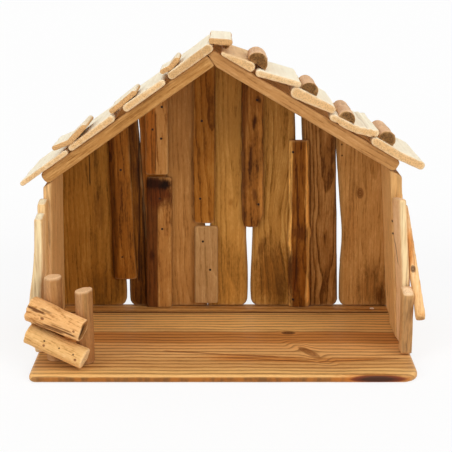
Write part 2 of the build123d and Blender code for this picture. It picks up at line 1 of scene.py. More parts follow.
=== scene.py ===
import math
import bpy
import numpy as np
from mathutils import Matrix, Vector


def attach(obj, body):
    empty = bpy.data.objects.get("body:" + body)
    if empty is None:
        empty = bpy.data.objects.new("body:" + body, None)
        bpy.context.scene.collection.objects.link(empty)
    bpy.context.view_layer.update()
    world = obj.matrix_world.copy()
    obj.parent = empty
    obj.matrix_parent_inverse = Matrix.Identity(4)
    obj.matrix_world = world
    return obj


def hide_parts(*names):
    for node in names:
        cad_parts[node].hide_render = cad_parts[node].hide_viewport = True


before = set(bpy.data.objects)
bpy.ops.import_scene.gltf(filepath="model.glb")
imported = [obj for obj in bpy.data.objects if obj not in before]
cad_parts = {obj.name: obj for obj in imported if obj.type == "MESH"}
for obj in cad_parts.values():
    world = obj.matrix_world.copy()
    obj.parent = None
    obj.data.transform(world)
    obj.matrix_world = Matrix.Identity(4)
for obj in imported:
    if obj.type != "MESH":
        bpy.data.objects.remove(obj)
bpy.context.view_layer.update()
scene = bpy.context.scene
print("frame loaded,", len(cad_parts), "nodes")


def linear(level):  # one screen level, 0..255, as linear light
    return ((level / 255 + 0.055) / 1.055) ** 2.4 if level > 10 else level / 255 / 12.92


def paint(colour):  # screen colour to a socket's colour
    return tuple(linear(level) for level in colour) + (1.0,)


def shaded(colour, share):
    return tuple(min(255, level * share) for level in colour)


class Flow:  # a node socket that can be used in sums
    def __init__(self, tree, node=None, out=0):
        self.tree, self.node = tree, node
        self.socket = node.outputs[out] if node else None

    def make(self, kind, settings, inputs, out=0):  # any other node
        node = self.tree.nodes.new(kind)
        for key, value in settings.items():
            setattr(node, key, value)
        for key, value in inputs.items():
            if isinstance(value, Flow):
                self.tree.links.new(value.socket, node.inputs[key])
            else:
                node.inputs[key].default_value = value
        return Flow(self.tree, node, out)

    def out(self, name):
        return Flow(self.tree, self.node, name)

    def feed(self, node, name):  # link to a socket of a node that is there already
        self.tree.links.new(self.socket, node.inputs[name])

    def math(self, operation, *values):
        return self.make("ShaderNodeMath", {"operation": operation}, dict(enumerate(values)))

    def __add__(self, other): return self.math("ADD", self, other)
    def __radd__(self, other): return self.math("ADD", other, self)
    def __sub__(self, other): return self.math("SUBTRACT", self, other)
    def __rsub__(self, other): return self.math("SUBTRACT", other, self)
    def __mul__(self, other): return self.math("MULTIPLY", self, other)
    def __rmul__(self, other): return self.math("MULTIPLY", other, self)
    def __truediv__(self, other): return self.math("DIVIDE", self, other)
    def __rtruediv__(self, other): return self.math("DIVIDE", other, self)
    def __pow__(self, other): return self.math("POWER", self, other)
    def __abs__(self): return self.math("ABSOLUTE", self)

    def step(self, low, high):  # soft step from 0 at low to 1 at high
        limits = {"Value": self, "From Min": low, "From Max": high}
        return self.make("ShaderNodeMapRange", {"interpolation_type": "SMOOTHSTEP"}, limits)

    def blend(self, first, second):  # a colour between two, by this value
        return self.make("ShaderNodeMix", {"data_type": "RGBA"}, {0: self, 6: first, 7: second}, 2)

    def cloud(self, scale, shift, detail):  # noise on stretched coordinates
        stretch = {0: self, 1: scale, 2: shift}
        place = self.make("ShaderNodeVectorMath", {"operation": "MULTIPLY_ADD"}, stretch)
        noise = {"Vector": place, "Scale": 1.0, "Detail": detail, "Roughness": 0.55}
        return self.make("ShaderNodeTexNoise", {}, noise)

    def attribute(self, name):  # what carve keeps under a name, whole and in parts
        values = self.make("ShaderNodeAttribute", {"attribute_name": name}, {}, "Vector")
        return values, values.parts()

    def parts(self):
        split = self.make("ShaderNodeSeparateXYZ", {}, {0: self})
        return split.out("X"), split.out("Y"), split.out("Z")


def newMaterial(name):
    material = bpy.data.materials.new(name)
    material.use_nodes = True
    return material, material.node_tree.nodes["Principled BSDF"], Flow(material.node_tree)


latticeKeys = (374761393, 668265263, 1442695041, 1274126177, 1103515245)  # mix a cell's numbers well


def lattice(cells, seed):  # one repeatable number per cell, -1 to 1
    first, second, third, fourth, last = latticeKeys
    mixed = cells[:, 0] * first + cells[:, 1] * second + cells[:, 2] * third + seed * fourth
    mixed = ((mixed ^ (mixed >> 13)) * last) & 0x7fffffff
    return ((mixed ^ (mixed >> 16)) & 0xffff) / 32767.5 - 1


def ripple(points, seed):  # smooth noise from -1 to 1
    cells = np.floor(points).astype(np.int64)
    part = points - cells
    part = part * part * (3 - 2 * part)
    total = np.zeros(len(points))
    for corner in range(8):
        step = np.array([corner & 1, corner >> 1 & 1, corner >> 2])
        total += np.prod(np.where(step == 1, part, 1 - part), axis=1) * lattice(cells + step, seed)
    return total


def lineNoise(values, seed):
    return ripple(np.stack([values, values * 0 + 0.5, values * 0 + 0.5], 1), seed)


def average(values, edges, rounds=1):  # mean of the neighbours, over and over
    count = np.bincount(edges.ravel(), minlength=len(values))[:, None]
    for _ in range(rounds):
        total = np.zeros_like(values)
        for axis in range(values.shape[1]):
            total[:, axis] = np.bincount(edges[:, 0], values[edges[:, 1], axis], len(values))
            total[:, axis] += np.bincount(edges[:, 1], values[edges[:, 0], axis], len(values))
        values = total / count
    return values


def smoothed(local, edges, rounds, inward=0.6, outward=0.62):  # smooths without shrinking
    for _ in range(rounds):
        local = local + inward * (average(local, edges) - local)
        local = local - outward * (average(local, edges) - local)
    return local


def edgesAlong(local, step):  # middle and half width of a piece at each point's place along it
    cell = ((local[:, 0] - local[:, 0].min()) / step).astype(int)
    low, high = np.full(cell.max() + 1, 1e9), np.full(cell.max() + 1, -1e9)
    np.minimum.at(low, cell, local[:, 1])
    np.maximum.at(high, cell, local[:, 1])
    middles = (np.arange(cell.max() + 1) + 0.5) * step + local[:, 0].min()
    keep = high > low
    low = np.interp(local[:, 0], middles[keep], low[keep])
    high = np.interp(local[:, 0], middles[keep], high[keep])
    return (low + high) / 2, np.maximum((high - low) / 2, 1.0)


def bell(distance, reach):  # 1 at no distance, dying away
    return np.exp(-(distance / reach) ** 2)


plainWood = {  # sizes in mm, colours on the screen's 0..255 scale
    "voxel": 1.8, "soften": 2, "round": 1, "seed": 1, "straight": False, "stationStep": 5.0,
    "edgeBite": 0.35, "edgeWave": 34.0, "endBite": 0.4, "endWave": 9.0,
    "bites": (),  # side, place along, reach, depth
    "flutes": (),  # place across, width, depth
    "dome": 0.0, "skew": 0.0, "bow": 0.0, "lean": (0.0, 0.0),
    "droop": None,  # place across, reach, drop
    "belly": None,  # place along, reach, depth
    "hollow": None,  # end, offset across, offset through, radius, depth
    "furrow": 0.25, "furrowWidth": 3.2, "furrowLength": 60.0, "swell": 0.35, "swellSize": 38.0,
    "dark": (96, 56, 20), "mid": (142, 94, 46), "light": (176, 126, 72), "tone": 0.5,
    "ringGap": 4.6, "ringDepth": 0.26, "heart": (9.0, 14.0), "tilt": 0.03, "wander": 3.0,
    "fibreDepth": 0.6, "streakDepth": 0.36, "mottleDepth": 0.5, "gritDepth": 0.4, "poreDepth": 0.3,
    "sway": (),  # place along, place across, length, reach, turn in mm
    "bands": (),  # from, to, softness, tint, amount
    "knots": (), "stains": (),  # place along, place across, length, reach, turn, tint, amount
    "edgeKnots": (),  # place along, place through, length, reach, tint, amount
    "lines": (),  # place across, slope, first, last, width, tint, amount
    "wear": 0.35, "wearAndHighlightTone": (206, 160, 104), "pit": 0.5, "pitTone": (52, 26, 8), "rim": 0.0,
    "ends": 0.8, "endTone": (170, 124, 74), "speckle": 0.45,
    "flank": 0.0, "flankTone": (220, 178, 124), "flankScale": (0.02, 0.3, 0.3),
    "topHighlight": 0.0, "topHighlightTone": (244, 224, 188), "burnTone": (34, 16, 6),
    "wormHoles": 0.0, "wormTone": (44, 22, 8),
    "bump": 0.5, "bumpDepth": 0.0012, "roughness": 0.62, "gloss": 0.1,
}
grainNoise = {  # cells per mm along, across and through, and the detail
    "wander": ((0.014, 0.045, 0.045), 2.0),
    "fibre": ((0.025, 0.62, 0.62), 4.0),
    "streak": ((0.006, 0.17, 0.17), 2.0),
    "mottle": ((0.03, 0.07, 0.07), 4.0),
    "grit": ((0.22, 0.5, 0.5), 3.0),
    "pore": ((0.045, 1.3, 1.3), 1.0),
    "endPores": ((0.8, 0.8, 0.8), 3.0),
    "wormField": ((0.05, 0.05, 0.05), 2.0),
}
noiseGain, streakGain = 1.6, 1.8  # noise stays near its middle, so it is stretched


def woodMaterial(name, look):
    material, shader, start = newMaterial("wood_" + name)
    seed = look["seed"]
    shift = (seed * 1.37 % 17, seed * 2.11 % 13, seed * 0.73 % 11)
    grain, (along, across, through) = start.attribute("grain")
    spotAlong, spotAcross, spotThrough = start.attribute("spots")[1]
    cut, flank, sky = start.attribute("faces")[1]
    side, wear, burn = start.attribute("marks")[1]

    def noise(layer):
        scale, detail = grainNoise[layer]
        return grain.cloud(scale, shift, detail)

    def apart(at, wide, long, reach, turn, crosswise=spotAcross):  # distance from a mark, 1 at its rim
        first, second = spotAlong - at, crosswise - wide
        if turn:
            c, s = math.cos(math.radians(turn)), math.sin(math.radians(turn))
            first, second = first * c + second * s, second * c - first * s
        return ((first / long) ** 2.0 + (second / reach) ** 2.0) ** 0.5

    def grained(tint, darker, lighter):  # a tint that keeps the grain
        return grainTone.blend(paint(shaded(tint, darker)), paint(shaded(tint, lighter)))

    wander = noise("wander") - 0.5
    fibre, streak, mottle, grit = (noise(layer) for layer in ("fibre", "streak", "mottle", "grit"))
    pore = noise("pore").step(0.60, 0.72)
    ringPlace = across - look["heartAt"][0]
    for at, wide, long, reach, turn, tint, amount in look["knots"]:  # the grain parts round a knot
        near = 1.0 - apart(at, wide, long * 2.6, reach * 2.8, turn).step(0.1, 1.0)
        ringPlace = ringPlace - near * (spotAcross - wide) * 0.8
    heartThrough = through - look["heartAt"][1] + along * look["tilt"]
    ring = (ringPlace * ringPlace + heartThrough * heartThrough) ** 0.5 + wander * look["wander"] * 3.0
    turns = ring / look["ringGap"]
    ring = turns.math("FRACT", turns)
    ring = ring.step(0.35, 0.9) * (1.0 - ring.step(0.92, 1.0)) * (0.25 + streak * 1.5)  # some rings stronger
    tone = look["tone"] + (0.4 - ring) * look["ringDepth"] + (fibre - 0.5) * look["fibreDepth"] * noiseGain
    tone = tone + (streak - 0.5) * look["streakDepth"] * streakGain
    tone = tone + (mottle - 0.5) * look["mottleDepth"] * noiseGain
    tone = tone + (grit - 0.5) * look["gritDepth"] * noiseGain - pore * look["poreDepth"]
    colour = tone.step(0.0, 0.5).blend(paint(look["dark"]), paint(look["mid"]))
    colour = tone.step(0.5, 1.0).blend(colour, paint(look["light"]))
    grainTone = tone.step(0.1, 0.9)
    for low, high, soft, tint, amount in look["bands"]:  # lengthwise bands, in shares of the half width
        edge = side + wander * soft * 5.0
        mask = edge.step(low - soft, low + soft) * (1.0 - edge.step(high - soft, high + soft))
        colour = (mask * amount).blend(colour, grained(tint, 0.78, 1.18))
    if look["flank"]:  # the narrow faces along a board
        uneven = grain.cloud(look["flankScale"], shift, 3.0).step(0.34, 0.62)
        edgeTone = uneven.blend(paint(shaded(look["flankTone"], 0.74)), paint(shaded(look["flankTone"], 1.08)))
        colour = (flank.step(0.5, 0.9) * look["flank"]).blend(colour, edgeTone)
    if look["topHighlight"]:  # upward faces painted paler, a painted highlight of the light from above
        mask = sky.step(0.4, 0.85) * (0.65 + streak * 0.7) * look["topHighlight"]
        colour = mask.blend(colour, paint(look["topHighlightTone"]))
    endPores = noise("endPores")
    cutFace = cut.step(0.5, 0.85)
    cutMix = endPores.step(0.36, 0.58) * look["speckle"] + (1.0 - look["speckle"])
    cutTone = cutMix.blend(paint(shaded(look["endTone"], 0.5)), paint(shaded(look["endTone"], 1.06)))
    colour = (cutFace * look["ends"]).blend(colour, cutTone)
    # convex edges turn paler: partly real wear, partly a painted highlight on the edges
    wornAndLit = (wear + (mottle - 0.5) * 0.4).step(0.2, 0.9)
    colour = (wornAndLit * look["wear"]).blend(colour, paint(look["wearAndHighlightTone"]))
    colour = ((0.0 - wear).step(0.12, 0.7) * look["pit"]).blend(colour, paint(look["pitTone"]))
    if look["rim"]:  # dirt and painted shade along the long edges
        mask = (abs(side) + wander * 0.12).step(0.8, 1.0) * look["rim"]
        colour = mask.blend(colour, paint(shaded(look["dark"], 0.55)))
    for at, wide, long, reach, turn, tint, amount in look["stains"]:
        far = apart(at, wide, long, reach, turn) + (mottle - 0.5) * 0.9 + (grit - 0.5) * 0.5
        colour = ((1.0 - far.step(0.3, 1.15)) * amount).blend(colour, grained(tint, 0.8, 1.2))
    for at, wide, long, reach, turn, tint, amount in look["knots"]:
        far = apart(at, wide, long, reach, turn) + (fibre - 0.5) * 0.25
        waves = far * 16.0
        mask = (1.0 - far.step(0.72, 1.12)) * (waves.math("SINE", waves) * 0.16 + 0.84)
        colour = (mask * amount).blend(colour, paint(tint))
    for at, high, long, reach, tint, amount in look["edgeKnots"]:  # knots in the narrow faces
        far = apart(at, high, long, reach, 0, spotThrough) + (fibre - 0.5) * 0.2 + (mottle - 0.5) * 0.3
        knotTone = far.step(0.45, 0.95).blend(paint(tint), paint(shaded(tint, 2.2)))
        colour = ((1.0 - far.step(0.85, 1.1)) * flank.step(0.15, 0.5) * amount).blend(colour, knotTone)
    height = fibre * 0.7 + grit * 0.5 - ring * look["ringDepth"] * 0.9 + streak * 0.3 - pore * 0.4
    for wide, slope, first, last, width, tint, amount in look["lines"]:  # cracks and veins, slope in mm per mm
        line = abs(spotAcross - wide - (spotAlong - first) * slope + wander * 5.0 + (fibre - 0.5) * 0.8)
        inside = spotAlong.step(first, first + 6.0) * (1.0 - spotAlong.step(last - 6.0, last))
        mask = (1.0 - line.step(width * 0.35, width)) * inside
        colour = (mask * amount).blend(colour, paint(tint))
        height = height - mask * 1.2
    colour = burn.blend(colour, paint(look["burnTone"]))
    height = height + cutFace * (endPores - 0.5) * 1.4
    if look["wormHoles"]:
        cells = start.make("ShaderNodeTexVoronoi", {}, {"Vector": grain, "Scale": 0.10}, "Distance")
        hole = (1.0 - cells.step(0.08, 0.12)) * noise("wormField").step(0.5, 0.56) * look["wormHoles"]
        colour = hole.blend(colour, paint(look["wormTone"]))
        height = height - hole * 1.6
    colour.feed(shader, "Base Color")
    (look["roughness"] + (fibre - 0.5) * 0.22 + (mottle - 0.5) * 0.15).feed(shader, "Roughness")
    relief = {"Strength": look["bump"], "Distance": look["bumpDepth"], "Height": height}
    start.make("ShaderNodeBump", {}, relief).feed(shader, "Normal")
    shader.inputs["Specular IOR Level"].default_value = look["gloss"]
    return material


def remeshed(piece, voxel):  # even small faces all over
    remesh = piece.modifiers.new("remesh", "REMESH")
    remesh.mode, remesh.voxel_size = "VOXEL", voxel
    mesh = bpy.data.meshes.new_from_object(piece.evaluated_get(bpy.context.evaluated_depsgraph_get()))
    piece.modifiers.clear()
    piece.data = mesh
    return mesh


def points(mesh):
    flat = np.empty(len(mesh.vertices) * 3)
    mesh.vertices.foreach_get("co", flat)
    return flat.reshape(-1, 3)


def weathered(local, look):  # shapes a piece in its own along, across and through; also gives side and toEnd
    seed = look["seed"]
    low, high = local.min(0), local.max(0)
    middle, half = edgesAlong(local, look["stationStep"])
    if look["straight"]:
        middle = np.full(len(local), (low[1] + high[1]) / 2)
        half = np.full(len(local), (high[1] - low[1]) / 2)
    side = np.clip((local[:, 1] - middle) / half, -1, 1)
    place = local[:, 0] / look["edgeWave"]  # the shifts give the two edges waves of their own
    bite = look["edgeBite"] * (0.5 + 0.5 * lineNoise(place + np.where(side > 0, 31.7, 0), seed))
    bite += look["edgeBite"] * 0.35 * lineNoise(place * 3.1 + np.where(side > 0, 17.3, 0), seed + 5)
    for onSide, at, reach, depth in look["bites"]:  # hollows in one long edge
        bite += np.where(side * onSide > 0, depth * bell(local[:, 0] - at, reach), 0)
    local[:, 1] -= side * np.abs(side) * bite
    thick = (local[:, 2] - low[2]) / (high[2] - low[2])
    for wide, width, depth in look["flutes"]:  # grooves along the face at the low end of through
        local[:, 2] += depth * bell(local[:, 1] - wide, width) * (1 - thick)
    if look["droop"]:  # one long side sinks
        at, reach, drop = look["droop"]
        local[:, 2] += drop * np.clip((at - local[:, 1]) / reach, 0, 1)
    local[:, 2] += look["dome"] * np.abs(side) ** 2.5 * (1 - thick)  # the front face falls off to the edges
    share = (local[:, 0] - low[0]) / (high[0] - low[0])
    local[:, 2] += look["skew"] * (side + 1) / 2 * thick + look["bow"] * share ** 3
    local[:, 1] += look["lean"][0] + (look["lean"][1] - look["lean"][0]) * share
    if look["belly"]:  # one broad face swells, the other one for a negative depth
        at, reach, depth = look["belly"]
        local[:, 2] -= depth * bell(local[:, 0] - at, reach) * (1 - thick if depth > 0 else thick)
    toEnd = (local[:, 0] - (low[0] + high[0]) / 2) / (high[0] - low[0]) * 2
    place = local[:, 1] / look["endWave"] + np.where(toEnd > 0, 9.1, 0)
    nibble = look["endBite"] * (0.5 + 0.5 * lineNoise(place, seed + 3))
    local[:, 0] -= np.sign(toEnd) * np.clip(np.abs(toEnd) * 8 - 7, 0, 1) * nibble  # in the last eighth
    look["heartAt"] = ((low[1] + high[1]) / 2 + look["heart"][0], (low[2] + high[2]) / 2 + look["heart"][1])
    return side, toEnd


def rotted(local, normals, toEnd, hollow):  # sinks the heart of one end, and says where it is burnt dark
    if not hollow:
        return np.zeros(len(local))
    end, wide, through, radius, depth = hollow
    cutEnd = (normals[:, 0] * end > 0.6) & (toEnd * end > 0.5)
    heart = local[cutEnd].mean(0)
    far = np.hypot(local[:, 1] - heart[1] - wide, local[:, 2] - heart[2] - through) / radius
    burn = np.clip((1.1 - far) * 2.2, 0, 1) * cutEnd
    local[:, 0] -= end * depth * burn
    return burn


def carve(node, along, across, own):  # weathered wood in the place of a CAD node
    look = {**plainWood, **own}
    along = Vector(along).normalized()
    across = Vector(across)
    across = (across - along * across.dot(along)).normalized()
    axes = np.array([along, across, along.cross(across)])
    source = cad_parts[node].data.copy()
    source.vertices.foreach_set("co", (points(source) @ axes.T * 1000).ravel())
    piece = bpy.data.objects.new("wood_" + node, source)
    scene.collection.objects.link(piece)
    mesh = remeshed(piece, look["voxel"])
    bpy.data.meshes.remove(source)
    count = len(mesh.vertices)
    edges = np.empty(len(mesh.edges) * 2, int)
    mesh.edges.foreach_get("vertices", edges)
    edges = edges.reshape(-1, 2)
    local = average(points(mesh), edges, look["round"])
    local = smoothed(local, edges, look["soften"])
    side, toEnd = weathered(local, look)
    mesh.vertices.foreach_set("co", local.ravel())
    mesh.update()
    normals = np.empty(count * 3)
    mesh.vertex_normals.foreach_get("vector", normals)
    normals = normals.reshape(-1, 3)
    burn = rotted(local, normals, toEnd, look["hollow"])
    furrow = ripple(local / (look["furrowLength"], look["furrowWidth"], look["furrowWidth"]), look["seed"] + 7)
    swell = ripple(local / look["swellSize"], look["seed"] + 11)
    sink = look["furrow"] * np.clip(furrow, 0, 1) ** 1.5 + look["swell"] * swell * 0.5
    local = local - normals * sink[:, None]
    wear = np.einsum("ij,ij->i", local - average(local, edges), normals)[:, None]  # edges > 0, dents < 0
    wear = average(np.clip(wear / look["voxel"] * 9, -1, 1), edges, 2)[:, 0]
    facing = np.stack([np.abs(normals[:, 0]), np.abs(normals[:, 1]), normals @ axes[:, 2]], 1)
    faces = average(facing, edges)
    marks = np.stack([side, wear, burn], 1)
    grain = local.copy()
    for at, wide, long, reach, turned in look["sway"]:  # the grain bends aside
        grain[:, 1] += turned * np.exp(-((local[:, 0] - at) / long) ** 2 - ((local[:, 1] - wide) / reach) ** 2)
    for title, values in (("grain", grain), ("spots", local), ("faces", faces), ("marks", marks)):
        mesh.attributes.new(title, "FLOAT_VECTOR", "POINT").data.foreach_set("vector", values.ravel())
    mesh.vertices.foreach_set("co", (local @ axes / 1000).ravel())
    mesh.polygons.foreach_set("use_smooth", np.ones(len(mesh.polygons), bool))
    mesh.update()
    mesh.materials.clear()
    mesh.materials.append(woodMaterial(node, look))
    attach(piece, "root")
    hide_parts(node)
    return piece


up, toRight, toBack = (0, 0, 1), (1, 0, 0), (0, 1, 0)
leftSlope, rightSlope = math.radians(35.2), math.radians(30.5)
leftDown = (-math.cos(leftSlope), 0, -math.sin(leftSlope))  # down the two roof slopes
rightDown = (math.cos(rightSlope), 0, -math.sin(rightSlope))
braceAlong = (0, -0.6, -0.8)
upperRailAlong, lowerRailAlong = (0.92, -0.23, -0.31), (0.906, -0.226, -0.357)

basePlank = {
    "voxel": 2.0, "round": 0, "seed": 3, "straight": True, "edgeBite": 0.3, "furrow": 0.06, "swell": 0.1,
    "dark": (140, 84, 32), "mid": (190, 140, 77), "light": (219, 174, 111), "tone": 0.60,
    "ringGap": 8.6, "ringDepth": 0.62, "heart": (-190.0, -30.0), "tilt": 0.02, "wander": 2.4,
    "fibreDepth": 0.3, "streakDepth": 0.2, "mottleDepth": 0.2, "gritDepth": 0.25, "poreDepth": 0.1,
    "bands": (
        (-0.14, 0.18, 0.02, (160, 98, 42), 0.8), (-0.3, -0.12, 0.05, (184, 124, 64), 0.5),
        (-0.55, -0.16, 0.04, (194, 140, 84), 0.5), (-0.82, -0.55, 0.04, (172, 118, 64), 0.5),
        # the last band, over the rear of the plank, is painted light against the shade under the roof
        (-1.1, -0.82, 0.04, (206, 158, 94), 0.5), (0.24, 1.1, 0.03, (208, 159, 92), 0.65),
    ),
    "knots": ((73, 17, 8.5, 5.5, 0, (66, 28, 8), 0.95), (92, -43, 21, 6.0, -60, (124, 68, 24), 0.8)),
    "edgeKnots": ((158, 4.6, 29, 4.0, (50, 20, 4), 0.97),),
    "stains": (
        (157, -111, 46, 10, 0, (160, 92, 30), 0.7), (30, -60, 78, 13, -4, (166, 102, 44), 0.75),
        (118, -66, 62, 9, 6, (172, 110, 50), 0.65),
    ),
    "lines": (
        (-38, -0.16, -68, 60, 2.2, (124, 68, 22), 0.75), (-58, -0.14, 0, 100, 2.0, (124, 68, 22), 0.7),
        (-72, 0.12, 96, 190, 2.2, (124, 68, 22), 0.7),
        (-50, -0.1, 0, 80, 1.8, (132, 74, 26), 0.65), (-66, 0.06, 60, 180, 1.8, (132, 74, 26), 0.6),
    ),
    # on the base, the wear tint is mostly a painted highlight along the upper front edge
    "wear": 0.15, "wearAndHighlightTone": (244, 190, 116), "endTone": (190, 132, 68),
    "flank": 0.95, "flankTone": (142, 80, 14), "flankScale": (0.12, 0.02, 0.05), "bump": 0.25, "roughness": 0.5,
    "gloss": 0.25,
}
carve("base_plank", toRight, toBack, basePlank)
backSill = {
    "voxel": 1.2, "round": 0, "seed": 4, "straight": True, "edgeBite": 0.2, "furrow": 0.04, "swell": 0.05,
    # the sill's front face is painted dark: a painted shadow line along its front edge
    "dark": (140, 88, 34), "mid": (186, 130, 66), "light": (208, 156, 90), "endBite": -3.0, "flank": 0.95,
    "flankTone": (84, 48, 16), "wear": 0.1,
    "ringGap": 9.0, "ringDepth": 0.5, "heart": (-40.0, -20.0), "fibreDepth": 0.3, "streakDepth": 0.3,
    "bump": 0.25, "roughness": 0.55,
}
carve("back_sill", toRight, toBack, backSill)
print("base done")

nailMark = (50, 24, 8)
crackTone = (38, 18, 6)
backBoards = {
    "back_board_1": {
        "seed": 21, "bites": ((-1, 12, 7, -3.0), (1, 32, 30, -1.3)), "dark": (100, 62, 12),
        "mid": (152, 100, 34), "light": (174, 122, 52), "rim": 0.3, "streakDepth": 0.32, "fibreDepth": 0.5,
        "lines": ((-157.5, 0.0, 158, 200, 1.1, crackTone, 0.8), (-128, 0.02, 30, 190, 1.6, (96, 56, 10), 0.6)),
        "stains": (
            (127, -147, 30, 9, 0, (96, 54, 8), 0.5), (60, -150, 60, 12, 0, (122, 76, 18), 0.4),
            (36, -146, 34, 30, 0, (112, 68, 14), 0.6),
        ),
    },
    "back_board_2": {
        "seed": 22, "dark": (48, 22, 2), "mid": (92, 50, 8), "light": (128, 76, 20), "edgeBite": 0.0,
        "round": 0, "streakDepth": 1.0, "bites": ((1, 90, 95, -1.3), (-1, 32, 30, -1.3)),
        "lines": ((-102, 0.02, 40, 220, 1.4, (40, 16, 2), 0.8), (-94, -0.02, 20, 150, 1.2, (40, 16, 2), 0.7)),
    },
    "back_board_3": {
        "seed": 23, "dark": (130, 70, 16), "mid": (166, 98, 32), "light": (180, 114, 46), "edgeBite": 0.0,
        "round": 0, "bites": ((-1, 228, 16, 0.9), (-1, 80, 95, -0.5), (1, 172, 8, -1.0)),
    },
    "back_board_4": {
        "seed": 24, "dark": (132, 84, 34), "mid": (172, 118, 60), "light": (192, 138, 78), "fibreDepth": 0.45,
        "bites": ((-1, 172, 8, -1.2), (1, 12, 6, -1.5), (1, 114, 6, 1.6)),
    },
    "back_board_5": {
        "seed": 25, "dark": (136, 88, 28), "mid": (180, 126, 56), "light": (200, 146, 74), "fibreDepth": 0.45,
        "bites": ((-1, 12, 6, -1.5), (1, 40, 40, -1.9), (-1, 114, 6, 2.2)),
        "stains": (
            (140, 8, 5, 3, 0, (130, 80, 24), 0.6), (48, 3, 50, 26, 0, (150, 98, 34), 0.65),
            (66, 5, 4, 2.5, 0, (130, 80, 24), 0.6),
        ),
    },
    "back_board_6": {
        "seed": 26, "dark": (120, 76, 20), "mid": (170, 118, 52), "light": (194, 144, 74),
        "sway": ((120, 92, 55, 34, 24),), "bites": ((-1, 40, 40, -2.6),), "ringDepth": 0.36, "ringGap": 6.0,
        "stains": ((52, 60, 50, 32, 0, (114, 68, 16), 0.85), (84, 44, 16, 5, 20, (92, 50, 8), 0.6)),
    },
    "back_board_7": {
        "seed": 27, "dark": (88, 48, 8), "mid": (140, 90, 38), "light": (170, 120, 64), "streakDepth": 0.45,
        "ringDepth": 0.6, "ringGap": 3.6,
    },
    "back_board_8": {
        "seed": 28, "dark": (142, 94, 40), "mid": (184, 132, 70), "light": (206, 154, 90),
        "bites": ((-1, 105, 38, 3.9), (-1, 222, 34, -3.2), (1, 12, 7, -3.0)),
        "knots": ((151, 160, 7, 4.2, 0, (104, 56, 14), 0.85),),
        "stains": (
            (34, 177, 36, 23, 0, (128, 80, 28), 0.65), (23, 187, 19, 9, 0, (90, 50, 10), 0.85),
            (209, 137, 1.6, 1.3, 0, nailMark, 1.0), (196, 137.5, 1.6, 1.3, 0, nailMark, 1.0),
            (110, 150, 60, 10, 0, (150, 96, 40), 0.4),
        ),
    },
}
for node, own in backBoards.items():
    carve(node, up, toRight, {"rim": 0.45, "edgeBite": 0.7, "edgeWave": 52.0, **own})
print("back done")

